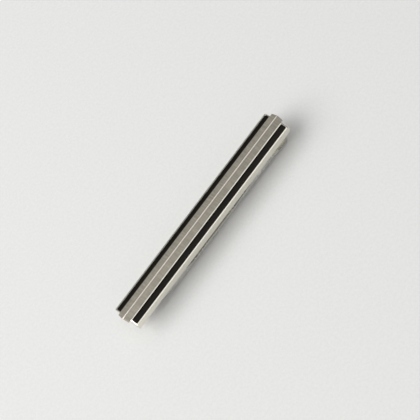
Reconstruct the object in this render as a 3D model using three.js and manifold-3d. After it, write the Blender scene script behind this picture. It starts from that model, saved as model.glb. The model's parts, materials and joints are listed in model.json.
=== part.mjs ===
// A dress tie bar with a sprung clasp behind it, in millimetres, +Z up.
// The origin is under the middle of the bar, on the surface that the clasp rests on. +X runs along
// the bar to its thumb end, and -Y is the bar's lower long edge when it is worn.
import * as THREE from "three";
import { mergeVertices } from "three/addons/utils/BufferGeometryUtils.js";
import Module from "manifold-3d";

const wasm = await Module();
wasm.setup();

const degrees = Math.PI / 180;
const fitGap = 0.02; // between pieces that are soldered or set into one another

// The front shell: a tray with its mouth down, two sloping flanges and a seat for the rail.
const shellLength = 58.6;
const shellWidth = 7.3;
const backZ = 4.1; // the face that lies on the cloth
const sideHeight = 2.0;
const flangeTilt = 17.9 * degrees;
const sideWall = 0.7;
const endWall = 0.8;
const seatDepth = 0.155;
const roofThickness = 0.6;

// The black enamel strips and the channels that hold them, one in each flange.
const enamelLength = 57.7;
const enamelInnerY = 1.91;
const enamelOuterY = 3.3;
const enamelThickness = 0.26;
const enamelCornerRadius = 0.25;

// The satin rail along the middle, a low roof with a polished bead on its crest.
const railLength = 60.0;
const railEndRadius = 6.9; // the ends are slightly bowed, seen from above
const railHalfWidth = 1.65;
const railEdgeZ = 6.88;
const railApexZ = 7.12;
const beadHalfWidth = 0.15;
const crestZ = 7.15;

// The plate that closes the shell from behind.
const plateThickness = 0.7;
const ledgeWidth = 0.3;
const plateCornerRadius = 0.5;

// The clasp's hinge.
const hingeX = 17.0;
const hingeZ = 2.1;
const pinRadius = 0.5;
const pressedHoleRadius = 0.515;
const runningHoleRadius = 0.56;
const pinHeadRadius = 0.85;
const pinHeadThickness = 0.28;
const pinHeadGap = 0.05; // between a head and the jaw arm's flange
const roundSegments = 32;
const curveSegments = 12;

// The bracket on the back plate that carries the pin.
const bracketLength = 8.4;
const bracketHalfWidth = 2.0;
const sheetThickness = 0.5;
const bracketEarRadius = 1.0;
const bracketEarFoot = 7.4; // the ears' length where they leave the base
const bracketEarSpread = 59.4 * degrees; // how far round the pin an ear's tip runs, each way

// The jaw arm, folded from one sheet: a bowed web with a flange on each side.
const armHalfWidth = 2.6;
const tabEndX = 28.4;
const tipX = -26.0;
const jawTopX = -24.0; // the web's heights change smoothly between these places
const bellyStartX = -12.0;
const bellyEndX = 7.0;
const webHingeX = 11.5;
const thumbBendX = 22.5;
const webHingeRise = 0.3;
const webJawRise = 2.2;
const tipLip = 0.35;
const armEarRadius = 1.05;
const armEarSpread = 36 * degrees;
const tabCornerRadius = 1.6;
const tipCornerRadius = 1.2;
const flangeEndX = 24.4;
const flangeRise = 1.0;
const wallStartX = 11.0; // the low wall runs from here, past the hinge, to wallEndX
const wallEndX = -8.0;
const earFilletX = 14.5; // where the curve from the low wall to the ear turns up
const toothFilletX = -11.5; // where the curve from the low wall to the teeth turns up
const toothPitch = 1.2;
const toothDepth = 0.6;
const toothCount = 9;
const firstToothX = -13.2;
const toothLean = 0.35; // how far along the pitch a tooth's point lies
const toothRunOut = 0.4;
const toothClearance = 0.02; // between the closed teeth and the back plate
const gripGrooves = 5;
const gripGroovePitch = 0.85;
const firstGrooveInset = 1.0; // from the tab's end
const gripGrooveRadius = 0.22;
const gripGrooveDepth = 0.12;

// The torsion spring on the pin.
const wireRadius = 0.2;
const coilRadius = 0.95;
const coilHalfLength = 1.0;
const coilTurns = 4.5;
const barLegLength = 4.2;
const barLegRise = 4.4 * degrees;
const armLegLength = 5.4;
const armLegFall = 1.1 * degrees;
const springSteps = 150;
const wireSideSegments = 5;

const plateZ = backZ + plateThickness;
const flangeOuterZ = backZ + sideHeight;
const halfWidth = shellWidth / 2;
const seatHalfWidth = railHalfWidth + fitGap;
const seatZ = flangeZ(seatHalfWidth) - seatDepth;

function flangeZ(y) {
  return flangeOuterZ + (halfWidth - Math.abs(y)) * Math.tan(flangeTilt);
}

// 0 before start, 1 after end, with a smooth rise between them.
function ease(x, start, end) {
  const t = Math.min(1, Math.max(0, (x - start) / (end - start)));
  return t * t * (3 - 2 * t);
}

function solidOf(geometry) {
  const bare = new THREE.BufferGeometry().setAttribute("position", geometry.getAttribute("position"));
  if (geometry.index) bare.setIndex(geometry.index);
  const merged = mergeVertices(bare, 1e-4);
  return new wasm.Manifold(
    new wasm.Mesh({
      numProp: 3,
      vertProperties: merged.attributes.position.array,
      triVerts: new Uint32Array(merged.index.array),
    }),
  );
}

function geometryOf(solid) {
  const mesh = solid.getMesh();
  const geometry = new THREE.BufferGeometry();
  geometry.setAttribute("position", new THREE.BufferAttribute(mesh.vertProperties, 3));
  geometry.setIndex(new THREE.BufferAttribute(mesh.triVerts, 1));
  geometry.computeVertexNormals();
  return geometry;
}

function shapeOf(points) {
  return new THREE.Shape(points.map(([a, b]) => new THREE.Vector2(a, b)));
}

function extrude(shape, depth) {
  return new THREE.ExtrudeGeometry(shape, { depth, bevelEnabled: false, curveSegments });
}

// A section drawn in Y and Z, run along X and centred on x = 0.
function alongX(shape, length) {
  const turn = new THREE.Matrix4().set(0, 0, 1, -length / 2, 1, 0, 0, 0, 0, 1, 0, 0, 0, 0, 0, 1);
  return extrude(shape, length).applyMatrix4(turn);
}

// A side outline drawn in X and Z, run along Y from lowY to highY.
function alongY(shape, lowY, highY) {
  return extrude(shape, highY - lowY).rotateX(Math.PI / 2).translate(0, highY, 0);
}

// A plan outline drawn in X and Y, run along Z from lowZ to highZ.
function alongZ(shape, lowZ, highZ) {
  return extrude(shape, highZ - lowZ).translate(0, 0, lowZ);
}

function roundedRectangle(length, width, radius) {
  const x = length / 2;
  const y = width / 2;
  const outline = new THREE.Shape();
  outline.moveTo(-x + radius, -y);
  outline.lineTo(x - radius, -y);
  outline.absarc(x - radius, -y + radius, radius, -Math.PI / 2, 0);
  outline.lineTo(x, y - radius);
  outline.absarc(x - radius, y - radius, radius, 0, Math.PI / 2);
  outline.lineTo(-x + radius, y);
  outline.absarc(-x + radius, y - radius, radius, Math.PI / 2, Math.PI);
  outline.lineTo(-x, -y + radius);
  outline.absarc(-x + radius, -y + radius, radius, Math.PI, 1.5 * Math.PI);
  return outline;
}

// A cylinder along Y on the hinge axis.
function hingeCylinder(radius, length) {
  return new THREE.CylinderGeometry(radius, radius, length, roundSegments).translate(hingeX, 0, hingeZ);
}

// An enamel strip in the flange of the given side (1 or -1). Its channel is cut with the same slab,
// grown by a gap all round and standing out of the flange's face.
function enamelSlab(side, grow = 0, standOut = 0) {
  const width = (enamelOuterY - enamelInnerY) / Math.cos(flangeTilt);
  const middleY = (enamelOuterY + enamelInnerY) / 2;
  const outline = roundedRectangle(enamelLength + 2 * grow, width + 2 * grow, enamelCornerRadius + grow);
  return alongZ(outline, -enamelThickness - grow, standOut)
    .rotateX(-side * flangeTilt)
    .translate(0, side * middleY, flangeZ(middleY));
}

function frontShell() {
  const section = shapeOf([
    [-halfWidth, backZ],
    [halfWidth, backZ],
    [halfWidth, flangeOuterZ],
    [seatHalfWidth, flangeZ(seatHalfWidth)],
    [seatHalfWidth, seatZ],
    [-seatHalfWidth, seatZ],
    [-seatHalfWidth, flangeZ(seatHalfWidth)],
    [-halfWidth, flangeOuterZ],
  ]);
  const hollowY = halfWidth - sideWall - ledgeWidth;
  const shoulderZ = flangeZ(hollowY) - enamelThickness - roofThickness;
  const hollow = shapeOf([
    [-hollowY, backZ - 1],
    [hollowY, backZ - 1],
    [hollowY, shoulderZ],
    [seatHalfWidth, seatZ - roofThickness],
    [-seatHalfWidth, seatZ - roofThickness],
    [-hollowY, shoulderZ],
  ]);
  const hollowLength = shellLength - 2 * endWall - 2 * ledgeWidth;
  const mouth = roundedRectangle(shellLength - 2 * endWall, shellWidth - 2 * sideWall, plateCornerRadius);
  let shell = solidOf(alongX(section, shellLength))
    .subtract(solidOf(alongX(hollow, hollowLength)))
    .subtract(solidOf(alongZ(mouth, backZ - 1, plateZ)));
  for (const side of [-1, 1]) shell = shell.subtract(solidOf(enamelSlab(side, fitGap, sideHeight)));
  return geometryOf(shell);
}

function centreRail() {
  const section = new THREE.Shape();
  section.moveTo(-railHalfWidth, seatZ + fitGap);
  section.lineTo(railHalfWidth, seatZ + fitGap);
  section.lineTo(railHalfWidth, railEdgeZ);
  section.lineTo(beadHalfWidth, railApexZ);
  section.quadraticCurveTo(0, 2 * crestZ - railApexZ, -beadHalfWidth, railApexZ);
  section.lineTo(-railHalfWidth, railEdgeZ);
  const endCentreX = railLength / 2 - railEndRadius;
  const planHalfWidth = 1.2 * railHalfWidth; // wider than the section, so that only the ends are cut
  const endAngle = Math.asin(planHalfWidth / railEndRadius);
  const plan = new THREE.Shape();
  plan.absarc(endCentreX, 0, railEndRadius, -endAngle, endAngle);
  plan.absarc(-endCentreX, 0, railEndRadius, Math.PI - endAngle, Math.PI + endAngle);
  const rail = solidOf(alongX(section, 1.1 * railLength)).intersect(solidOf(alongZ(plan, 0, 2 * crestZ)));
  return geometryOf(rail);
}

function backPlate() {
  const length = shellLength - 2 * endWall - 2 * fitGap;
  const width = shellWidth - 2 * sideWall - 2 * fitGap;
  return alongZ(roundedRectangle(length, width, plateCornerRadius - fitGap), backZ, plateZ - fitGap);
}

function hingeBracket() {
  const baseLowZ = backZ - fitGap - sheetThickness;
  const base = roundedRectangle(bracketLength, 2 * bracketHalfWidth, sheetThickness);
  const footHalf = bracketEarFoot / 2;
  const rootZ = baseLowZ + sheetThickness / 2; // inside the base, so that ear and base join
  const down = 1.5 * Math.PI;
  const ear = new THREE.Shape();
  ear.moveTo(hingeX + footHalf, rootZ);
  ear.lineTo(hingeX - footHalf, rootZ);
  ear.lineTo(hingeX - footHalf, baseLowZ);
  ear.absarc(hingeX, hingeZ, bracketEarRadius, down - bracketEarSpread, down + bracketEarSpread);
  ear.lineTo(hingeX + footHalf, baseLowZ);
  let bracket = solidOf(alongZ(base, baseLowZ, backZ - fitGap).translate(hingeX, 0, 0));
  for (const lowY of [-bracketHalfWidth, bracketHalfWidth - sheetThickness]) {
    bracket = bracket.add(solidOf(alongY(ear, lowY, lowY + sheetThickness)));
  }
  return geometryOf(bracket.subtract(solidOf(hingeCylinder(pressedHoleRadius, 3 * bracketHalfWidth))));
}

// A rivet along the hinge axis, its domed heads just outside the jaw arm's flanges.
function hingePin() {
  const headY = armHalfWidth + pinHeadGap;
  const tipY = headY + pinHeadThickness;
  const domeStep = 0.2 * pinHeadThickness;
  const profile = [
    [0, -tipY],
    [pinHeadRadius / 2, -tipY + domeStep],
    [pinHeadRadius, -headY - domeStep],
    [pinHeadRadius, -headY],
    [pinRadius, -headY],
  ];
  const mirrored = profile.map(([r, y]) => [r, -y]).reverse();
  const points = [...profile, ...mirrored].map(([r, y]) => new THREE.Vector2(r, y));
  return new THREE.LatheGeometry(points, roundSegments).translate(hingeX, 0, hingeZ);
}

// Leg on the bar, coil, leg on the jaw arm, as one smooth line.
class SpringLine extends THREE.Curve {
  constructor() {
    super();
    this.startAngle = Math.PI / 2 + barLegRise;
    this.endAngle = Math.PI / 2 + 2 * Math.PI * coilTurns - armLegFall;
    this.coilLength = coilRadius * (this.endAngle - this.startAngle);
  }

  coilPoint(angle) {
    const share = (angle - this.startAngle) / (this.endAngle - this.startAngle);
    const y = coilHalfLength * (2 * share - 1);
    return new THREE.Vector3(
      hingeX + coilRadius * Math.cos(angle),
      y,
      hingeZ + coilRadius * Math.sin(angle),
    );
  }

  getPoint(t, target = new THREE.Vector3()) {
    const along = t * (barLegLength + this.coilLength + armLegLength);
    const onCoil = along - barLegLength;
    const angle = THREE.MathUtils.clamp(
      this.startAngle + onCoil / coilRadius,
      this.startAngle,
      this.endAngle,
    );
    target.copy(this.coilPoint(angle));
    const before = Math.max(0, -onCoil);
    const after = Math.max(0, onCoil - this.coilLength);
    target.x += before * Math.cos(barLegRise) + after * Math.cos(armLegFall);
    target.z += before * Math.sin(barLegRise) - after * Math.sin(armLegFall);
    return target;
  }
}

function torsionSpring() {
  const wire = new THREE.Shape().absarc(0, 0, wireRadius, 0, 2 * Math.PI);
  const made = new THREE.ExtrudeGeometry(wire, {
    steps: springSteps,
    curveSegments: wireSideSegments,
    bevelEnabled: false,
    extrudePath: new SpringLine(),
  });
  return geometryOf(solidOf(made));
}

// Height of the middle of the jaw arm's web, from the tip at -X to the thumb tab at +X.
function webZ(x) {
  const bellyZ = sheetThickness / 2;
  const hingeRise = webHingeRise * (ease(x, bellyEndX, webHingeX) - ease(x, thumbBendX, tabEndX));
  const jawRise = webJawRise * ease(x, bellyStartX, jawTopX);
  const lip = tipLip * ease(x, jawTopX, tipX);
  return bellyZ + hingeRise + jawRise - lip;
}

// The places along the web where its outline needs a point, between two values of x.
function webStations(fromX, toX) {
  const stretches = [
    [tipX, jawTopX, 4],
    [jawTopX, bellyStartX, 16],
    [bellyStartX, bellyEndX, 1],
    [bellyEndX, webHingeX, 6],
    [webHingeX, thumbBendX, 1],
    [thumbBendX, tabEndX, 8],
  ];
  const closest = 0.1;
  const stations = [];
  for (const [start, end, steps] of stretches) {
    for (let i = 0; i < steps; i += 1) stations.push(start + ((end - start) * i) / steps);
  }
  return [fromX, ...stations.filter((x) => x > fromX + closest && x < toX - closest), toX];
}

// One side flange: the ear round the pin, the low wall over the belly, and the saw teeth at the tip.
function armFlange() {
  const wallZ = (x) => webZ(x) + sheetThickness / 2 + flangeRise;
  const toothZ = backZ - toothClearance;
  const rootZ = toothZ - toothDepth;
  const lastToothX = firstToothX - toothPitch * toothCount;
  const up = Math.PI / 2;
  const outline = new THREE.Shape();
  outline.moveTo(flangeEndX, wallZ(flangeEndX) - flangeRise);
  outline.absarc(hingeX, hingeZ, armEarRadius, up - armEarSpread, up + armEarSpread);
  outline.quadraticCurveTo(earFilletX, wallZ(wallStartX), wallStartX, wallZ(wallStartX));
  for (const x of [(wallStartX + bellyEndX) / 2, bellyEndX, wallEndX]) outline.lineTo(x, wallZ(x));
  outline.quadraticCurveTo(toothFilletX, wallZ(wallEndX), firstToothX, rootZ);
  for (let i = 0; i < toothCount; i += 1) {
    const x = firstToothX - i * toothPitch;
    outline.lineTo(x - toothLean * toothPitch, toothZ);
    outline.lineTo(x - toothPitch, rootZ);
  }
  const runOutX = lastToothX - toothRunOut;
  outline.lineTo(runOutX, webZ(lastToothX));
  for (const x of webStations(runOutX, flangeEndX)) outline.lineTo(x, webZ(x));
  return outline;
}

function armWeb() {
  const half = sheetThickness / 2;
  const stations = webStations(tipX, tabEndX);
  const under = stations.map((x) => [x, webZ(x) - half]);
  const over = stations.map((x) => [x, webZ(x) + half]).reverse();
  return shapeOf([...under, ...over]);
}

// The arm's outline from above, with a rounded thumb tab and tip.
function armPlan() {
  const plan = new THREE.Shape();
  const y = armHalfWidth;
  plan.moveTo(tipX + tipCornerRadius, -y);
  plan.lineTo(tabEndX - tabCornerRadius, -y);
  plan.absarc(tabEndX - tabCornerRadius, -y + tabCornerRadius, tabCornerRadius, -Math.PI / 2, 0);
  plan.absarc(tabEndX - tabCornerRadius, y - tabCornerRadius, tabCornerRadius, 0, Math.PI / 2);
  plan.absarc(tipX + tipCornerRadius, y - tipCornerRadius, tipCornerRadius, Math.PI / 2, Math.PI);
  plan.absarc(tipX + tipCornerRadius, -y + tipCornerRadius, tipCornerRadius, Math.PI, 1.5 * Math.PI);
  return plan;
}

function jawArm() {
  let arm = solidOf(alongY(armWeb(), -armHalfWidth, armHalfWidth));
  for (const lowY of [-armHalfWidth, armHalfWidth - sheetThickness]) {
    arm = arm.add(solidOf(alongY(armFlange(), lowY, lowY + sheetThickness)));
  }
  arm = arm.subtract(solidOf(hingeCylinder(runningHoleRadius, 3 * armHalfWidth)));
  for (let i = 0; i < gripGrooves; i += 1) {
    const x = tabEndX - firstGrooveInset - i * gripGroovePitch;
    const z = webZ(x) - sheetThickness / 2 + gripGrooveDepth - gripGrooveRadius;
    const groove = new THREE.CylinderGeometry(gripGrooveRadius, gripGrooveRadius, 3 * armHalfWidth, 12);
    arm = arm.subtract(solidOf(groove.translate(x, 0, z)));
  }
  return geometryOf(arm.intersect(solidOf(alongZ(armPlan(), -1, crestZ))));
}

const polished = { color: 0xd6d2c8, roughness: 0.12, metalness: 1 };
const satin = { color: 0xa39d92, roughness: 0.42, metalness: 1 };
const enamel = { color: 0x14110d, roughness: 0.1, metalness: 0 };
const springSteel = { color: 0x8f8f90, roughness: 0.3, metalness: 1 };

const tieBar = new THREE.Group();
tieBar.name = "tie_bar";

function addPiece(name, geometry, look) {
  const piece = new THREE.Mesh(geometry, new THREE.MeshStandardMaterial(look));
  piece.name = name;
  tieBar.add(piece);
}

addPiece("front_shell", frontShell(), polished);
addPiece("centre_rail", centreRail(), satin);
addPiece("upper_enamel", enamelSlab(1), enamel);
addPiece("lower_enamel", enamelSlab(-1), enamel);
addPiece("back_plate", backPlate(), polished);
addPiece("hinge_bracket", hingeBracket(), polished);
addPiece("hinge_pin", hingePin(), springSteel);
addPiece("torsion_spring", torsionSpring(), springSteel);
addPiece("jaw_arm", jawArm(), polished);

export default tieBar;
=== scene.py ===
import json
import math

import bmesh
import bpy
from mathutils import Matrix, Vector


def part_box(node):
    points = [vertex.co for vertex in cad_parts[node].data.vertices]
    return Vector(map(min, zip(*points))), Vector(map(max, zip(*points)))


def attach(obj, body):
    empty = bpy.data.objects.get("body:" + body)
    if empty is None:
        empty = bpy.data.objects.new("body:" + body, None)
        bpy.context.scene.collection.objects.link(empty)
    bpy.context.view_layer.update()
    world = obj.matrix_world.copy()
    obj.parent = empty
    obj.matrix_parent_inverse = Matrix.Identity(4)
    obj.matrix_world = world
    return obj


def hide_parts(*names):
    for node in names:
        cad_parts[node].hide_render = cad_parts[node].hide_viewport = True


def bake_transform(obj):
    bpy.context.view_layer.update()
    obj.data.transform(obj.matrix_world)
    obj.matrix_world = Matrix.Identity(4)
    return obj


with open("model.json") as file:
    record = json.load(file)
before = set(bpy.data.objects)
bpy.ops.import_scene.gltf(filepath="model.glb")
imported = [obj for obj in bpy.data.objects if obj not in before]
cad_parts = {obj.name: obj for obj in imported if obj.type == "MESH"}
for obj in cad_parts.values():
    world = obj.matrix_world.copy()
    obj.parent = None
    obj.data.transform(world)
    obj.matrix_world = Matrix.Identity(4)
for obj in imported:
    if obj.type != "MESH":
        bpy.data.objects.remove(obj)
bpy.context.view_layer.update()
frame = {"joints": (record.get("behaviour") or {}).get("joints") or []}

# A dress tie bar lying face up on its sprung clasp. Lengths are in metres, built from MM.
MM = 0.001
HINGE = Vector(frame["joints"][0]["pos_m"])

SHELL_LOW, SHELL_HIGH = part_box("front_shell")
RAIL_LOW, RAIL_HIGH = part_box("centre_rail")
PLATE_LOW, PLATE_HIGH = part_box("back_plate")
BRACKET_LOW, BRACKET_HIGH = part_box("hinge_bracket")
PIN_LOW, PIN_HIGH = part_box("hinge_pin")
ARM_LOW, ARM_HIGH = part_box("jaw_arm")

# The photograph's view. Its aim is a little off the middle of the rail's crest.
VIEW_AZIMUTH = math.radians(-14.54)
VIEW_ELEVATION = math.radians(60.0)
VIEW_ROLL = math.radians(-40.08)
VIEW_DISTANCE = 349.7 * MM
VIEW_AIM = Vector((2.42 * MM, -0.98 * MM, RAIL_HIGH.z))
LENS_MM = 128.7

# The decorated bar's sizes that several functions share.
FLANGE_TILT = math.radians(17.9)
ENAMEL_INNER_Y = 1.91 * MM
ENAMEL_OUTER_Y = 3.3 * MM
ENAMEL_HALF_WIDTH = (ENAMEL_OUTER_Y - ENAMEL_INNER_Y) / (2 * math.cos(FLANGE_TILT))
ENAMEL_HALF_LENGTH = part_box("upper_enamel")[1].x
ENAMEL_CORNER = 0.25 * MM
ENAMEL_DEPTH = 0.26 * MM
SHOULDER_Z = SHELL_LOW.z + 2.0 * MM
LEDGE = 0.3 * MM
SHELL_END_RADIUS = 0.42 * MM
BEAD_HALF = 0.15 * MM
BEAD_RISE = 0.008 * MM
FIT_GAP = 0.02 * MM
OVERSHOOT = 1 * MM

# The clasp's sizes. An ear's spread is its angle on each side of its middle, in degrees.
SHEET = 0.5 * MM
SHEET_END_ROUND = 0.2 * MM
ARM_EAR_RADIUS = 1.05 * MM
ARM_EAR_SPREAD = 36.0
BRACKET_EAR_RADIUS = 1.0 * MM
BRACKET_EAR_SPREAD = 59.4
RUNNING_HOLE_RADIUS = 0.56 * MM
PRESSED_HOLE_RADIUS = 0.515 * MM
PIN_RADIUS = 0.5 * MM
WIRE_RADIUS = 0.2 * MM

# Where the jaw arm's web rises and falls along X.
JAW_RISE_END = -24 * MM
JAW_RISE_START = -12 * MM
HINGE_RISE_START = 7 * MM
HINGE_RISE_END = 11.5 * MM
TAB_FALL_START = 22.5 * MM

# The grip grooves under the thumb tab: half their width, and the place of each along X.
GROOVE_HALF = 0.2 * MM
GROOVES = [ARM_HIGH.x - 1.0 * MM - i * 0.85 * MM for i in range(5)]

# The part of a noise's range that carries most of its contrast.
NOISE_RANGE = (0.3, 0.7)

# Points closer together than this are joined.
CLOSEST = 1e-4 * MM


def smooth_step(x, start, end):
    """0 before start, 1 past end and eased between them. They may run either way along x."""
    t = min(1.0, max(0.0, (x - start) / (end - start)))
    return t * t * (3 - 2 * t)


def interpolate(points, x):
    """The height at x of a line through points, which are sorted by x."""
    for (x0, z0), (x1, z1) in zip(points, points[1:]):
        if x <= x1:
            return z0 + (z1 - z0) * max(0.0, x - x0) / max(x1 - x0, 1e-12)
    return points[-1][1]


def quadratic(start, control, end, steps):
    """Points of a quadratic curve after its start, in a plane."""
    found = []
    for i in range(1, steps + 1):
        t = i / steps
        weights = ((1 - t) ** 2, 2 * t * (1 - t), t * t)
        corners = (start, control, end)
        found.append(tuple(sum(w * p[k] for w, p in zip(weights, corners)) for k in (0, 1)))
    return found


def arc(centre, radius, start, end, steps):
    """Points of an arc in a plane, both ends included. Angles are in degrees."""
    angles = [math.radians(start + (end - start) * i / steps) for i in range(steps + 1)]
    return [(centre[0] + radius * math.cos(a), centre[1] + radius * math.sin(a)) for a in angles]


def mesh_piece(name, bm, finish, body=None, sharp_angle=40.0):
    """Turns a bmesh into a smooth-shaded piece with that material, riding on a body."""
    bmesh.ops.recalc_face_normals(bm, faces=bm.faces)
    mesh = bpy.data.meshes.new(name)
    bm.to_mesh(mesh)
    bm.free()
    for face in mesh.polygons:
        face.use_smooth = True
    mesh.set_sharp_from_angle(angle=math.radians(sharp_angle))
    mesh.materials.append(finish)
    piece = bpy.data.objects.new(name, mesh)
    bpy.context.scene.collection.objects.link(piece)
    if body:
        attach(piece, body)
    return piece


def even_normals(piece):
    """Keeps large flat faces flat in shading beside their small rounded edges."""
    modifier = piece.modifiers.new("even_normals", "WEIGHTED_NORMAL")
    modifier.keep_sharp = True


def join_loops(bm, loops, closed_ends=True):
    """Skins a row of closed loops, which all have the same number of points."""
    rings = [[bm.verts.new(point) for point in loop] for loop in loops]
    count = len(rings[0])
    for ring, following in zip(rings, rings[1:]):
        for i in range(count):
            j = (i + 1) % count
            bm.faces.new((ring[i], ring[j], following[j], following[i]))
    if closed_ends:
        bm.faces.new(reversed(rings[0]))
        bm.faces.new(rings[-1])
    return rings


def rounded_rectangle(half_length, half_width, radius, z):
    """A closed loop of points in a level plane."""
    corner_steps = 6
    points = []
    for quarter, (sx, sy) in enumerate(((1, 1), (-1, 1), (-1, -1), (1, -1))):
        centre = (sx * (half_length - radius), sy * (half_width - radius))
        corner = arc(centre, radius, 90 * quarter, 90 * (quarter + 1), corner_steps)
        points += [Vector((x, y, z)) for x, y in corner]
    return points


def slab(levels, centre_x=0.0):
    """A solid through rounded rectangles: (half length, half width, radius, z) for each level."""
    bm = bmesh.new()
    join_loops(bm, [rounded_rectangle(*level) for level in levels])
    bmesh.ops.translate(bm, verts=bm.verts, vec=(centre_x, 0, 0))
    return bm


def evaluated_mesh(piece):
    """A new mesh of the piece as it is with its modifiers or its bevel applied."""
    graph = bpy.context.evaluated_depsgraph_get()
    return bpy.data.meshes.new_from_object(piece.evaluated_get(graph))


def carve(bm, tools):
    """Cuts the tool bmeshes out of a bmesh, and frees them all."""
    target = bpy.data.objects.new("target", bpy.data.meshes.new("target"))
    bm.to_mesh(target.data)
    bm.free()
    parts = [target]
    for tool_bm in tools:
        tool = bpy.data.objects.new("tool", bpy.data.meshes.new("tool"))
        bmesh.ops.recalc_face_normals(tool_bm, faces=tool_bm.faces)
        tool_bm.to_mesh(tool.data)
        tool_bm.free()
        parts.append(tool)
        cut = target.modifiers.new("cut", "BOOLEAN")
        cut.operation = "DIFFERENCE"
        cut.solver = "EXACT"
        cut.object = tool
    for part in parts:
        bpy.context.scene.collection.objects.link(part)
    carved = bmesh.new()
    carved.from_mesh(evaluated_mesh(target))
    bmesh.ops.dissolve_degenerate(carved, edges=carved.edges, dist=CLOSEST)
    for part in parts:
        bpy.data.objects.remove(part)
    return carved


def drill(bm, radius):
    """Cuts a round hole along the hinge axis through everything in the bmesh."""
    segments = 64
    length = 20 * MM
    tool = bmesh.new()
    turned = Matrix.Translation(HINGE) @ Matrix.Rotation(math.pi / 2, 4, "X")
    bmesh.ops.create_cone(tool, cap_ends=True, segments=segments, radius1=radius, radius2=radius,
                          depth=length, matrix=turned)
    return carve(bm, [tool])


# Materials


def new_material(name, **values):
    """A node material whose shader has these constant values."""
    material = bpy.data.materials.new(name)
    material.use_nodes = True
    shader = material.node_tree.nodes["Principled BSDF"]
    for socket, value in values.items():
        shader.inputs[socket.replace("_", " ")].default_value = value
    return material, material.node_tree, shader


def grain(tree, per_mm, detail=2.0, stretch=(1, 1, 1)):
    """Noise with per_mm features in a millimetre, drawn out where stretch is below 1."""
    coordinates = tree.nodes.new("ShaderNodeTexCoord")
    mapping = tree.nodes.new("ShaderNodeMapping")
    mapping.inputs["Scale"].default_value = [per_mm / MM * s for s in stretch]
    noise = tree.nodes.new("ShaderNodeTexNoise")
    noise.inputs["Scale"].default_value = 1.0
    noise.inputs["Detail"].default_value = detail
    tree.links.new(coordinates.outputs["Object"], mapping.inputs["Vector"])
    tree.links.new(mapping.outputs["Vector"], noise.inputs["Vector"])
    return noise.outputs["Fac"]


def spread(tree, value, low, high, source=NOISE_RANGE):
    """Maps the source range of a value onto the range from low to high."""
    node = tree.nodes.new("ShaderNodeMapRange")
    node.inputs["From Min"].default_value, node.inputs["From Max"].default_value = source
    node.inputs["To Min"].default_value, node.inputs["To Max"].default_value = low, high
    tree.links.new(value, node.inputs["Value"])
    return node.outputs["Result"]


def tint(tree, value, dark, light):
    """A colour between dark and light, by value."""
    ramp = tree.nodes.new("ShaderNodeValToRGB")
    for element, place, colour in zip(ramp.color_ramp.elements, NOISE_RANGE, (dark, light)):
        element.position = place
        element.color = (*colour, 1)
    tree.links.new(value, ramp.inputs["Fac"])
    return ramp.outputs["Color"]


def relief(tree, height, depth, below=None):
    """Bump of a depth in metres, laid over an earlier bump."""
    bump = tree.nodes.new("ShaderNodeBump")
    bump.inputs["Strength"].default_value = 1.0
    bump.inputs["Distance"].default_value = depth
    tree.links.new(height, bump.inputs["Height"])
    if below:
        tree.links.new(below, bump.inputs["Normal"])
    return bump.outputs["Normal"]


def polished_metal():
    """Rhodium plate: almost a mirror, with hairlines along the bar and a faint wipe haze."""
    material, tree, shader = new_material("polished_rhodium", Metallic=1.0)
    haze = grain(tree, 0.25, 3.0, (0.4, 1, 1))
    hairlines = grain(tree, 14.0, 2.0, (0.02, 1, 1))
    colour = tint(tree, haze, (0.79, 0.76, 0.67), (0.85, 0.82, 0.73))
    tree.links.new(colour, shader.inputs["Base Color"])
    tree.links.new(spread(tree, haze, 0.09, 0.16), shader.inputs["Roughness"])
    tree.links.new(relief(tree, hairlines, 0.0005 * MM), shader.inputs["Normal"])
    return material


def satin_metal():
    """The rail's facets: fine crosswise brushing under warm grey plate."""
    material, tree, shader = new_material("satin_rhodium", Metallic=1.0)
    coarse = grain(tree, 4.4, 2.0, (1, 0.06, 0.06))
    fine = grain(tree, 11.0, 2.0, (1, 0.05, 0.05))
    colour = tint(tree, coarse, (0.40, 0.366, 0.308), (0.56, 0.512, 0.431))
    tree.links.new(colour, shader.inputs["Base Color"])
    tree.links.new(spread(tree, fine, 0.29, 0.41), shader.inputs["Roughness"])
    brushed = relief(tree, coarse, 0.003 * MM)
    tree.links.new(relief(tree, fine, 0.002 * MM, brushed), shader.inputs["Normal"])
    return material


def crest_metal():
    """The rail's burnished crest, polished over the ends of the brushing."""
    material, tree, shader = new_material("burnished_crest", Metallic=1.0)
    marks = grain(tree, 5.0, 2.0, (1, 0.1, 0.1))
    colour = tint(tree, marks, (0.76, 0.725, 0.64), (0.86, 0.825, 0.735))
    tree.links.new(colour, shader.inputs["Base Color"])
    tree.links.new(spread(tree, marks, 0.14, 0.24), shader.inputs["Roughness"])
    tree.links.new(relief(tree, marks, 0.001 * MM), shader.inputs["Normal"])
    return material


def black_enamel():
    """Fired enamel: deep black glass with a faint ripple and a few dull patches."""
    material, tree, shader = new_material("black_enamel", Specular_IOR_Level=0.15)
    ripple = grain(tree, 1.3, 2.0)
    patches = grain(tree, 0.35, 3.0)
    colour = tint(tree, patches, (0.004, 0.003, 0.001), (0.008, 0.006, 0.003))
    tree.links.new(colour, shader.inputs["Base Color"])
    tree.links.new(spread(tree, patches, 0.06, 0.14), shader.inputs["Roughness"])
    tree.links.new(relief(tree, ripple, 0.003 * MM), shader.inputs["Normal"])
    return material


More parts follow.
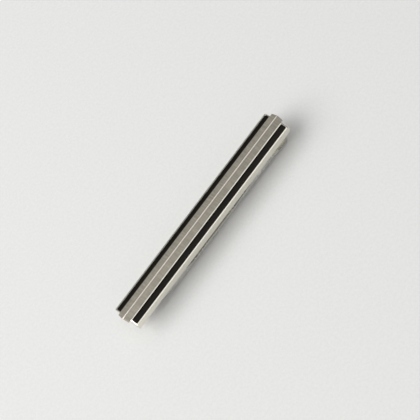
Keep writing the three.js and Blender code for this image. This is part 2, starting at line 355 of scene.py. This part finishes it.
def clasp_metal():
    """Barrel-polished sheet: bright, with tumbling marks and a faint rolling grain."""
    material, tree, shader = new_material("clasp_sheet", Metallic=1.0)
    tumbling = grain(tree, 1.1, 3.0)
    rolling = grain(tree, 9.0, 2.0, (0.05, 1, 1))
    colour = tint(tree, tumbling, (0.66, 0.65, 0.62), (0.78, 0.77, 0.74))
    tree.links.new(colour, shader.inputs["Base Color"])
    tree.links.new(spread(tree, tumbling, 0.19, 0.29), shader.inputs["Roughness"])
    marked = relief(tree, tumbling, 0.0005 * MM)
    tree.links.new(relief(tree, rolling, 0.0004 * MM, marked), shader.inputs["Normal"])
    return material


def spring_steel():
    """Drawn wire: grey, with die lines and a light oil-tempered tint."""
    material, tree, shader = new_material("spring_wire_steel", Metallic=1.0)
    tempering = grain(tree, 1.2, 3.0)
    draw_lines = grain(tree, 12.0, 2.0, (1, 0.2, 1))
    colour = tint(tree, tempering, (0.42, 0.42, 0.43), (0.56, 0.555, 0.55))
    tree.links.new(colour, shader.inputs["Base Color"])
    tree.links.new(spread(tree, draw_lines, 0.22, 0.36), shader.inputs["Roughness"])
    tree.links.new(relief(tree, draw_lines, 0.001 * MM), shader.inputs["Normal"])
    return material


def solder_metal():
    """Silver solder: soft, slightly lumpy and duller than the sheet beside it."""
    material, tree, shader = new_material("silver_solder", Metallic=1.0)
    lumps = grain(tree, 3.0, 3.0)
    colour = tint(tree, lumps, (0.6, 0.59, 0.57), (0.74, 0.73, 0.7))
    tree.links.new(colour, shader.inputs["Base Color"])
    tree.links.new(spread(tree, lumps, 0.25, 0.4), shader.inputs["Roughness"])
    tree.links.new(relief(tree, lumps, 0.01 * MM), shader.inputs["Normal"])
    return material


def floor_paper():
    """The studio's floor: matt pale grey paper."""
    material, tree, shader = new_material("floor_paper", Specular_IOR_Level=0.2)
    tooth = grain(tree, 1.5, 3.0)
    colour = tint(tree, tooth, (0.79, 0.79, 0.78), (0.83, 0.83, 0.82))
    tree.links.new(colour, shader.inputs["Base Color"])
    tree.links.new(spread(tree, tooth, 0.75, 0.85), shader.inputs["Roughness"])
    return material


# The decorated bar


def corner_inset(distance, radius):
    """How far a rounded corner draws a face in, at a distance from the corner's other face."""
    missing = max(0.0, radius - distance)
    return radius - math.sqrt(radius**2 - missing**2)


def on_flange(side):
    """Places a level shape on a flange, with its origin where the enamel's middle line lies."""
    middle_y = (ENAMEL_INNER_Y + ENAMEL_OUTER_Y) / 2
    flange_z = SHOULDER_Z + (SHELL_HIGH.y - middle_y) * math.tan(FLANGE_TILT)
    return Matrix.Translation((0, side * middle_y, flange_z)) @ Matrix.Rotation(-side * FLANGE_TILT, 4, "X")


def shell_section(from_end):
    """The shell's outline across the bar at a distance from its end: (y, z), anticlockwise."""
    edge_radius = 0.06 * MM
    edge_steps = 4
    drawn_in = corner_inset(from_end, edge_radius)
    drop = corner_inset(from_end, SHELL_END_RADIUS)
    centre_y = SHELL_HIGH.y - drawn_in - edge_radius
    foot_z = SHELL_LOW.z + drawn_in

    def flange_z(y):
        return SHOULDER_Z - drop + (SHELL_HIGH.y - y) * math.tan(FLANGE_TILT)

    seat_half = RAIL_HIGH.y + FIT_GAP
    seat_z = RAIL_LOW.z - FIT_GAP - drop
    shoulder_centre = (centre_y, flange_z(centre_y) - edge_radius / math.cos(FLANGE_TILT))
    half = arc((centre_y, foot_z + edge_radius), edge_radius, -90, 0, edge_steps)
    half += arc(shoulder_centre, edge_radius, 0, 90 - math.degrees(FLANGE_TILT), edge_steps)
    half += [(seat_half, flange_z(seat_half)), (seat_half, seat_z)]
    return half + [(-y, z) for y, z in reversed(half)]


def shell_hollow():
    """The space behind the plate, under the channels and the seat."""
    roof = 0.6 * MM
    half_length = PLATE_HIGH.x + FIT_GAP - LEDGE
    half_width = PLATE_HIGH.y + FIT_GAP - LEDGE
    flange = SHOULDER_Z + (SHELL_HIGH.y - half_width) * math.tan(FLANGE_TILT)
    shoulder = flange - ENAMEL_DEPTH - roof
    middle = RAIL_LOW.z - FIT_GAP - roof
    outline = [(half_width, PLATE_LOW.z - OVERSHOOT), (half_width, shoulder), (RAIL_HIGH.y, middle)]
    outline += [(-y, z) for y, z in reversed(outline)]
    bm = bmesh.new()
    join_loops(bm, [[Vector((x, y, z)) for y, z in outline] for x in (-half_length, half_length)])
    return bm


def shell_mouth():
    """The recess for the back plate, with its edge broken."""
    broken = 0.06 * MM
    corner = 0.5 * MM
    size = (PLATE_HIGH.x + FIT_GAP, PLATE_HIGH.y + FIT_GAP, corner)
    wide = [length + broken for length in size]
    return slab([(*wide, SHELL_LOW.z - OVERSHOOT), (*wide, SHELL_LOW.z),
                 (*size, SHELL_LOW.z + broken), (*size, PLATE_HIGH.z + FIT_GAP)])


def enamel_channel(side):
    """The channel for one enamel strip, with its edge broken."""
    broken = 0.03 * MM
    size = (ENAMEL_HALF_LENGTH + FIT_GAP, ENAMEL_HALF_WIDTH + FIT_GAP, ENAMEL_CORNER + FIT_GAP)
    wide = [length + broken for length in size]
    bm = slab([(*size, -ENAMEL_DEPTH - FIT_GAP), (*size, -broken), (*wide, 0.0), (*wide, OVERSHOOT)])
    bmesh.ops.transform(bm, matrix=on_flange(side), verts=bm.verts)
    return bm


def make_shell(finish):
    """The tray-shaped body: soft ends, broken edges, two channels, and a hollow with a recess."""
    steps = 12
    insets = [SHELL_END_RADIUS * (1 - math.cos(math.radians(90 * i / steps))) for i in range(steps + 1)]
    half_length = SHELL_HIGH.x
    stations = [(-half_length + d, d) for d in insets]
    stations += [(half_length - d, d) for d in reversed(insets)]
    bm = bmesh.new()
    join_loops(bm, [[Vector((x, y, z)) for y, z in shell_section(d)] for x, d in stations])
    bmesh.ops.recalc_face_normals(bm, faces=bm.faces)
    tools = [shell_hollow(), shell_mouth(), enamel_channel(-1), enamel_channel(1)]
    piece = mesh_piece("shell_body", carve(bm, tools), finish, "bar", sharp_angle=35.0)
    even_normals(piece)
    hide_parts("front_shell")


def rail_section():
    """The rail's upper outline from its -Y edge to its +Y edge, as (y, z)."""
    facet_fall = 0.27 * MM
    facet_tilt_degrees = 9.0
    edge_radius = 0.05 * MM
    edge_centre = (-RAIL_HIGH.y + edge_radius, RAIL_HIGH.z - facet_fall - edge_radius)
    left = arc(edge_centre, edge_radius, 180, 90 + facet_tilt_degrees, 3)
    bead_radius = (BEAD_HALF**2 + BEAD_RISE**2) / (2 * BEAD_RISE)
    bead_spread = math.degrees(math.asin(BEAD_HALF / bead_radius))
    bead = arc((0.0, RAIL_HIGH.z - bead_radius), bead_radius, 90 + bead_spread, 90 - bead_spread, 10)
    right = [(-y, z) for y, z in reversed(left)]
    return left + bead + right


def make_rail(satin, polished):
    """The satin rail: two facets, a burnished bead between them and bowed ends."""
    end_radius = 6.9 * MM
    end_round = 0.12 * MM
    round_steps = 5
    length_steps = 24
    section = rail_section()
    count = len(section)

    def ring(share, inset, drop):
        """A loop round the rail. share is -1 at one end of it and 1 at the other."""
        reaches = [RAIL_HIGH.x - end_radius + math.sqrt(end_radius**2 - y * y) - inset for y, _ in section]
        top = [Vector((share * reach, y, z - drop)) for reach, (y, z) in zip(reaches, section)]
        return top + [Vector((point.x, point.y, RAIL_LOW.z)) for point in reversed(top)]

    turns = [math.radians(90 * i / round_steps) for i in range(round_steps)]
    rounding = [(end_round * (1 - math.cos(t)), end_round * (1 - math.sin(t))) for t in turns]
    rings = [ring(-1, inset, drop) for inset, drop in rounding]
    rings += [ring(2 * i / length_steps - 1, end_round, 0.0) for i in range(length_steps + 1)]
    rings += [ring(1, inset, drop) for inset, drop in reversed(rounding)]
    bm = bmesh.new()
    joined = join_loops(bm, rings, closed_ends=False)
    for end in (joined[0], joined[-1]):
        for i in range(count - 1):
            bm.faces.new((end[i], end[i + 1], end[2 * count - 2 - i], end[2 * count - 1 - i]))
    for face in bm.faces:
        middle = face.calc_center_median()
        on_crest = abs(middle.y) < BEAD_HALF and middle.z > RAIL_HIGH.z - BEAD_RISE
        face.material_index = 1 if on_crest else 0
    piece = mesh_piece("rail_body", bm, satin, "bar")
    piece.data.materials.append(polished)
    even_normals(piece)
    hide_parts("centre_rail")


def make_enamel(name, node, side, finish):
    """One strip: rounded ends, a slight crown, and a meniscus where it meets the metal.

    Each pair of the profile is an inset from the outline and a height over the flange, in mm.
    """
    least_corner = 0.03 * MM
    profile = ((0.0, -0.045), (0.015, -0.022), (0.05, -0.008), (0.12, 0.002),
               (0.25, 0.010), (0.42, 0.016), (0.6, 0.018))
    levels = [(ENAMEL_HALF_LENGTH, ENAMEL_HALF_WIDTH, ENAMEL_CORNER, -ENAMEL_DEPTH)]
    for inset_mm, height_mm in profile:
        inset = inset_mm * MM
        radius = max(ENAMEL_CORNER - inset, least_corner)
        levels.append((ENAMEL_HALF_LENGTH - inset, ENAMEL_HALF_WIDTH - inset, radius, height_mm * MM))
    bm = slab(levels)
    bmesh.ops.transform(bm, matrix=on_flange(side), verts=bm.verts)
    piece = mesh_piece(name, bm, finish, "bar", sharp_angle=60.0)
    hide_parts(node)


def make_back_plate(finish):
    """The plate set in the shell's mouth, with its edge broken in two small facets."""
    corner = 0.48 * MM
    broken = 0.08 * MM
    edge = ((broken, 0.0), (0.3 * broken, 0.3 * broken), (0.0, broken), (0.0, PLATE_HIGH.z - PLATE_LOW.z))
    levels = []
    for inset, rise in edge:
        levels.append((PLATE_HIGH.x - inset, PLATE_HIGH.y - inset, corner - inset, PLATE_LOW.z + rise))
    piece = mesh_piece("plate_back", slab(levels), finish, "bar", sharp_angle=60.0)
    even_normals(piece)
    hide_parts("back_plate")


# The clasp


def sheet_half_section(half_width, rim, fold_radius, squeeze):
    """Half of a folded channel's section: (y, height above the web's outer face), centre outwards.

    rim is the flange's height, or the sheet's thickness where there is no flange. squeeze thins
    the sheet towards its middle, which rounds off its ends.
    """
    lip = 0.07 * MM
    inner_lip = min(lip, rim - SHEET)
    inner_fold = min(0.18 * MM, rim - SHEET - inner_lip)
    w = half_width
    inner = w - SHEET
    points = [(0.0, 0.0), (0.5 * w, 0.0)]
    points += arc((w - fold_radius, fold_radius), fold_radius, 270, 360, 6)
    points += arc((w - lip, rim - lip), lip, 0, 90, 3)
    points += arc((inner + inner_lip, rim - inner_lip), inner_lip, 90, 180, 3)
    points += arc((inner - inner_fold, SHEET + inner_fold), inner_fold, 360, 270, 4)
    points += [(0.5 * w, SHEET), (0.0, SHEET)]
    return [(y, squeeze + h * (1 - 2 * squeeze / SHEET) if squeeze else h) for y, h in points]


def folded_sheet(stations, half_width, web_z, rim, side):
    """A channel folded from sheet along X. side is 1 if its flanges rise, and -1 if they hang."""
    sharp_fold = 0.12 * MM
    full_fold = 0.45 * MM
    full_rim = 0.5 * MM
    first, last = stations[0], stations[-1]
    loops = []
    for x in stations:
        height = max(rim(x), SHEET)
        fold = sharp_fold + (full_fold - sharp_fold) * smooth_step(height - SHEET, 0.0, full_rim)
        from_end = max(0.0, min(x - first, last - x))
        squeeze = corner_inset(from_end, SHEET_END_ROUND)
        half = sheet_half_section(half_width(x), height, fold, squeeze)
        right = [Vector((x, y, web_z(x) + side * h)) for y, h in half]
        left = [Vector((x, -y, web_z(x) + side * h)) for y, h in reversed(half)]
        loops.append(right + left[1:-1])
    bm = bmesh.new()
    join_loops(bm, loops)
    bmesh.ops.remove_doubles(bm, verts=bm.verts, dist=10 * CLOSEST)
    bmesh.ops.dissolve_degenerate(bm, edges=bm.edges, dist=CLOSEST)
    bmesh.ops.recalc_face_normals(bm, faces=bm.faces)
    return bm


def end_stations(end, inward, corner):
    """Close stations over a sheet's rounded end and its corner. inward is 1 or -1."""
    steps = 10
    shares = [1 - math.cos(math.radians(90 * i / steps)) for i in range(1, steps + 1)]
    distances = [SHEET_END_ROUND * s for s in shares[:steps // 2]] + [corner * s for s in shares]
    return [end, *[end + inward * d for d in distances]]


def merged(stations):
    """The stations in order, with those that coincide joined into one."""
    return sorted(set(round(x, 8) for x in stations))


def cornered(half_width, first, last, first_radius, last_radius):
    """Half width along a sheet whose corners are rounded at both ends."""

    def at(x):
        for distance, radius in ((x - first, first_radius), (last - x, last_radius)):
            if distance < radius:
                missing = radius - max(0.0, distance)
                return half_width - radius + math.sqrt(radius**2 - missing**2)
        return half_width

    return at


def arm_web_z(x):
    """The underside of the jaw arm's web: flat belly, lifted at the hinge and at the toothed tip."""
    hinge_lift = 0.3 * MM
    jaw_lift = 2.2 * MM
    lip_drop = 0.35 * MM
    tab_fall = smooth_step(x, TAB_FALL_START, ARM_HIGH.x)
    hinge_rise = smooth_step(x, HINGE_RISE_START, HINGE_RISE_END) - tab_fall
    jaw_rise = smooth_step(x, JAW_RISE_START, JAW_RISE_END)
    lip = smooth_step(x, JAW_RISE_END, ARM_LOW.x)
    return hinge_lift * hinge_rise + jaw_lift * jaw_rise - lip_drop * lip


def arm_rim_points():
    """The top of the arm's flanges along X: saw teeth, low wall, ear and run-out to the tab."""
    flange_rise = 1.0 * MM
    tooth_pitch = 1.2 * MM
    tooth_depth = 0.6 * MM
    tooth_lean = 0.35
    tooth_count = 9
    first_tooth = -13.2 * MM
    last_tooth = first_tooth - tooth_pitch * tooth_count
    run_out_x = last_tooth - 0.4 * MM
    wall_start_x = -8 * MM
    wall_end_x = 11 * MM
    tooth_fillet_x = -11.5 * MM
    ear_fillet_x = 14.5 * MM
    rim_end_x = 24.4 * MM
    root_z = ARM_HIGH.z - tooth_depth

    def inner_z(x):
        return arm_web_z(x) + SHEET

    points = [(run_out_x, inner_z(run_out_x)), (last_tooth, root_z)]
    for i in reversed(range(tooth_count)):
        root = first_tooth - i * tooth_pitch
        points += [(root - tooth_lean * tooth_pitch, ARM_HIGH.z), (root, root_z)]
    wall_start = (wall_start_x, inner_z(wall_start_x) + flange_rise)
    points += quadratic(points[-1], (tooth_fillet_x, wall_start[1]), wall_start, 8)
    wall = (-2 * MM, 4 * MM, HINGE_RISE_START, 9 * MM, wall_end_x)
    points += [(x, inner_z(x) + flange_rise) for x in wall]
    ear = arc((HINGE.x, HINGE.z), ARM_EAR_RADIUS, 90 + ARM_EAR_SPREAD, 90 - ARM_EAR_SPREAD, 14)
    points += quadratic(points[-1], (ear_fillet_x, points[-1][1]), ear[0], 8)
    points += ear[1:]
    return points + [(rim_end_x, inner_z(rim_end_x))]


def grip_groove_depth(x):
    """How deep the round crosswise grooves under the thumb tab are at x."""
    deepest = 0.12 * MM
    for centre in GROOVES:
        if abs(x - centre) < GROOVE_HALF:
            return deepest * math.cos(math.pi / 2 * (x - centre) / GROOVE_HALF)
    return 0.0


def arm_stations(rims, tip_corner, tab_corner):
    """Where the arm's sections lie along X: close together wherever its shape changes."""
    stations = end_stations(ARM_LOW.x, 1, tip_corner) + end_stations(ARM_HIGH.x, -1, tab_corner)
    stations += [x for x, _ in rims]
    bends = ((JAW_RISE_END, 0.5 * MM, 25), (HINGE_RISE_START, 0.5 * MM, 10), (TAB_FALL_START, 0.4 * MM, 14))
    for start, step, count in bends:
        stations += [start + i * step for i in range(count)]
    for centre in GROOVES:
        stations += [centre + GROOVE_HALF * s for s in (-1, -0.6, -0.3, 0, 0.3, 0.6, 1)]
    return merged(stations)


def make_arm(finish):
    """The jaw arm with its teeth, folded flanges, hinge ears and ribbed thumb tab."""
    tip_corner = 1.2 * MM
    tab_corner = 1.6 * MM
    half_width = cornered(ARM_HIGH.y, ARM_LOW.x, ARM_HIGH.x, tip_corner, tab_corner)
    rims = arm_rim_points()

    def rim(x):
        if x <= rims[0][0] or x >= rims[-1][0]:
            return SHEET
        return interpolate(rims, x) - arm_web_z(x)

    bm = folded_sheet(arm_stations(rims, tip_corner, tab_corner), half_width, arm_web_z, rim, 1)
    skin = 0.1 * MM
    for vertex in bm.verts:
        on_underside = vertex.co.z - arm_web_z(vertex.co.x) < skin
        if on_underside:
            vertex.co.z += grip_groove_depth(vertex.co.x)
    piece = mesh_piece("arm_body", drill(bm, RUNNING_HOLE_RADIUS), finish, "jaw", sharp_angle=35.0)
    even_normals(piece)
    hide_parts("jaw_arm")


def make_bracket(finish):
    """The small folded bracket, its ears narrowing to the pin."""
    first, last = BRACKET_LOW.x, BRACKET_HIGH.x
    top = BRACKET_HIGH.z
    foot_half = 3.7 * MM
    foot_steps = 24
    half_width = cornered(BRACKET_HIGH.y, first, last, SHEET, SHEET)
    ear_start, ear_end = 270 - BRACKET_EAR_SPREAD, 270 + BRACKET_EAR_SPREAD
    ear = arc((HINGE.x, HINGE.z), BRACKET_EAR_RADIUS, ear_start, ear_end, 18)
    rims = [(HINGE.x - foot_half, top - SHEET), *ear, (HINGE.x + foot_half, top - SHEET)]

    def rim(x):
        if x <= rims[0][0] or x >= rims[-1][0]:
            return SHEET
        return top - interpolate(rims, x)

    stations = end_stations(first, 1, SHEET) + end_stations(last, -1, SHEET)
    stations += [x for x, _ in rims]
    stations += [HINGE.x + foot_half * (2 * i / foot_steps - 1) for i in range(foot_steps + 1)]
    bm = folded_sheet(merged(stations), half_width, lambda x: top, rim, -1)
    piece = mesh_piece("bracket_body", drill(bm, PRESSED_HOLE_RADIUS), finish, "bar", sharp_angle=35.0)
    even_normals(piece)
    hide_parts("hinge_bracket")


def make_solder(finish):
    """The thin fillet of solder that holds the bracket to the back plate.

    Each pair of the profile is a reach past the bracket and a drop from the plate, in mm.
    """
    profile = ((0.24, 0.0), (0.13, 0.03), (0.06, 0.08), (0.02, 0.16))
    half_length = (BRACKET_HIGH.x - BRACKET_LOW.x) / 2
    half_width = BRACKET_HIGH.y
    levels = []
    for reach_mm, drop_mm in profile:
        reach = reach_mm * MM
        levels.append((half_length + reach, half_width + reach, SHEET + reach, PLATE_LOW.z - drop_mm * MM))
    piece = mesh_piece("solder_seam", slab(levels, HINGE.x), finish, "bar", sharp_angle=70.0)


def make_pin(finish):
    """The rivet: a plain shank with a domed head at each end."""
    segments = 64
    dome_steps = 10
    rim_break = 0.02 * MM
    head_radius = (PIN_HIGH.x - PIN_LOW.x) / 2
    head_inner = ARM_HIGH.y + 0.05 * MM
    dome_start = head_inner + 0.07 * MM
    dome_rise = PIN_HIGH.y - dome_start
    half = [(PIN_RADIUS, 0.0), (PIN_RADIUS, head_inner)]
    half += [(head_radius - rim_break, head_inner), (head_radius, head_inner + rim_break)]
    for i in range(dome_steps):
        turn = math.radians(90 * i / dome_steps)
        half.append((head_radius * math.cos(turn), dome_start + dome_rise * math.sin(turn)))
    profile = [(r, -y) for r, y in reversed(half[1:])] + half
    angles = [2 * math.pi * i / segments for i in range(segments)]
    loops = [[HINGE + Vector((r * math.cos(a), y, r * math.sin(a))) for a in angles] for r, y in profile]
    bm = bmesh.new()
    join_loops(bm, loops)
    piece = mesh_piece("pin_rivet", bm, finish, "bar")
    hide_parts("hinge_pin")


def spring_line(coil_half):
    """Leg under the bracket, coil round the pin, leg on the arm's web."""
    coil_radius = 0.95 * MM
    turns = 4.5
    coil_steps = 240
    leg_steps = 12
    bar_leg = 4.2 * MM
    bar_rise = math.radians(4.4)
    arm_leg = 5.4 * MM
    arm_fall = math.radians(1.1)
    start = math.pi / 2 + bar_rise
    end = math.pi / 2 + 2 * math.pi * turns - arm_fall
    coil = []
    for i in range(coil_steps + 1):
        share = i / coil_steps
        angle = start + (end - start) * share
        offset = Vector((math.cos(angle), 0, math.sin(angle))) * coil_radius
        coil.append(HINGE + offset + Vector((0, coil_half * (2 * share - 1), 0)))
    bar_way = Vector((math.cos(bar_rise), 0, math.sin(bar_rise)))
    arm_way = Vector((math.cos(arm_fall), 0, -math.sin(arm_fall)))
    before = [coil[0] + bar_way * bar_leg * (1 - i / leg_steps) for i in range(leg_steps)]
    after = [coil[-1] + arm_way * arm_leg * (i + 1) / leg_steps for i in range(leg_steps)]
    return before + coil + after


def make_spring(finish):
    """The torsion spring as drawn wire, with one leg under the bracket and one on the jaw arm's web."""
    coil_half = 1.0 * MM
    points = spring_line(coil_half)
    curve = bpy.data.curves.new("spring_line", "CURVE")
    curve.dimensions = "3D"
    curve.bevel_depth = WIRE_RADIUS
    curve.bevel_resolution = 5
    curve.use_fill_caps = True
    line = curve.splines.new("POLY")
    line.points.add(len(points) - 1)
    for target, point in zip(line.points, points):
        target.co = (*point, 1)
    wire = bpy.data.objects.new("wire", curve)
    bpy.context.scene.collection.objects.link(wire)
    bm = bmesh.new()
    bm.from_mesh(evaluated_mesh(wire))
    bpy.data.objects.remove(wire)
    bmesh.ops.remove_doubles(bm, verts=bm.verts, dist=CLOSEST)
    piece = mesh_piece("spring_wire", bm, finish)
    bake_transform(piece)
    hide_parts("torsion_spring")


# The studio


def make_camera():
    """The camera at the photograph's viewing angle."""
    a, e = VIEW_AZIMUTH, VIEW_ELEVATION
    back = Vector((math.sin(a) * math.cos(e), -math.cos(a) * math.cos(e), math.sin(e)))
    level = Vector((0, 0, 1)).cross(back).normalized()
    upright = back.cross(level)
    right = math.cos(VIEW_ROLL) * level + math.sin(VIEW_ROLL) * upright
    up = back.cross(right)
    camera = bpy.data.objects.new("camera", bpy.data.cameras.new("camera"))
    camera.data.sensor_width = 36.0
    camera.data.lens = LENS_MM
    camera.data.clip_start = 10 * MM
    camera.data.clip_end = 10.0
    place = Matrix((right, up, back)).transposed().to_4x4()
    place.translation = VIEW_AIM + back * VIEW_DISTANCE
    camera.matrix_world = place
    bpy.context.scene.collection.objects.link(camera)
    bpy.context.scene.camera = camera


def make_floor():
    """A plain square sheet, a hair below the clasp so that the two faces don't coincide."""
    half_size = 3.0
    gap = 0.005 * MM
    bm = bmesh.new()
    bmesh.ops.create_grid(bm, x_segments=1, y_segments=1, size=half_size)
    piece = mesh_piece("floor", bm, floor_paper())
    piece.location.z = -gap


def area_light(name, azimuth, elevation, distance, width, height, watts):
    """A soft box that faces the bar. Azimuth 0 is on the -Y side and 90 on the +X side."""
    a, e = math.radians(azimuth), math.radians(elevation)
    towards = Vector((math.sin(a) * math.cos(e), -math.cos(a) * math.cos(e), math.sin(e)))
    data = bpy.data.lights.new(name, "AREA")
    data.shape = "RECTANGLE"
    data.size = width
    data.size_y = height
    data.energy = watts
    light = bpy.data.objects.new(name, data)
    light.location = towards * distance
    light.rotation_mode = "QUATERNION"
    light.rotation_quaternion = (-towards).to_track_quat("-Z", "Y")
    bpy.context.scene.collection.objects.link(light)


def make_world():
    """A plain grey room, a little darker low down on the +X and +Y side."""
    lighter_way = Vector((-0.3, -0.35, 0.88)).normalized()
    world = bpy.data.worlds.new("studio")
    bpy.context.scene.world = world
    world.use_nodes = True
    tree = world.node_tree
    coordinates = tree.nodes.new("ShaderNodeTexCoord")
    dot = tree.nodes.new("ShaderNodeVectorMath")
    dot.operation = "DOT_PRODUCT"
    dot.inputs[1].default_value = lighter_way
    tree.links.new(coordinates.outputs["Generated"], dot.inputs[0])
    light = spread(tree, dot.outputs["Value"], 0.0, 1.0, source=(-0.6, 0.5))
    room = tint(tree, light, (0.2, 0.2, 0.2), (0.36, 0.36, 0.355))
    tree.links.new(room, tree.nodes["Background"].inputs["Color"])
    bpy.context.scene.view_settings.view_transform = "Standard"


def make_lights():
    """The studio: angles in degrees, distances and sizes in metres, and watts.

    The front box lights the -Y flange and the rear strip the crest. The key comes from the rear
    left, and the fill and the left box soften its shadow and light the -X end.
    """
    area_light("front_box", 0, 76, 0.7, 0.6, 0.25, 0.34)
    area_light("rear_strip", 180, 55.5, 0.7, 0.6, 0.24, 0.26)
    area_light("key", -114, 47, 1.2, 1.15, 1.15, 11.0)
    area_light("fill", -25, 28, 1.5, 1.2, 0.8, 1.5)
    area_light("left_box", -92, 38, 0.9, 0.7, 0.5, 1.0)


def make_bar():
    polished, satin, enamel = polished_metal(), satin_metal(), black_enamel()
    make_shell(polished)
    make_rail(satin, crest_metal())
    make_enamel("enamel_upper", "upper_enamel", 1, enamel)
    make_enamel("enamel_lower", "lower_enamel", -1, enamel)
    make_back_plate(polished)


def make_clasp():
    sheet = clasp_metal()
    make_arm(sheet)
    make_bracket(sheet)
    make_solder(solder_metal())
    make_pin(sheet)
    make_spring(spring_steel())


make_camera()
make_world()
make_lights()
make_floor()
make_bar()
make_clasp()
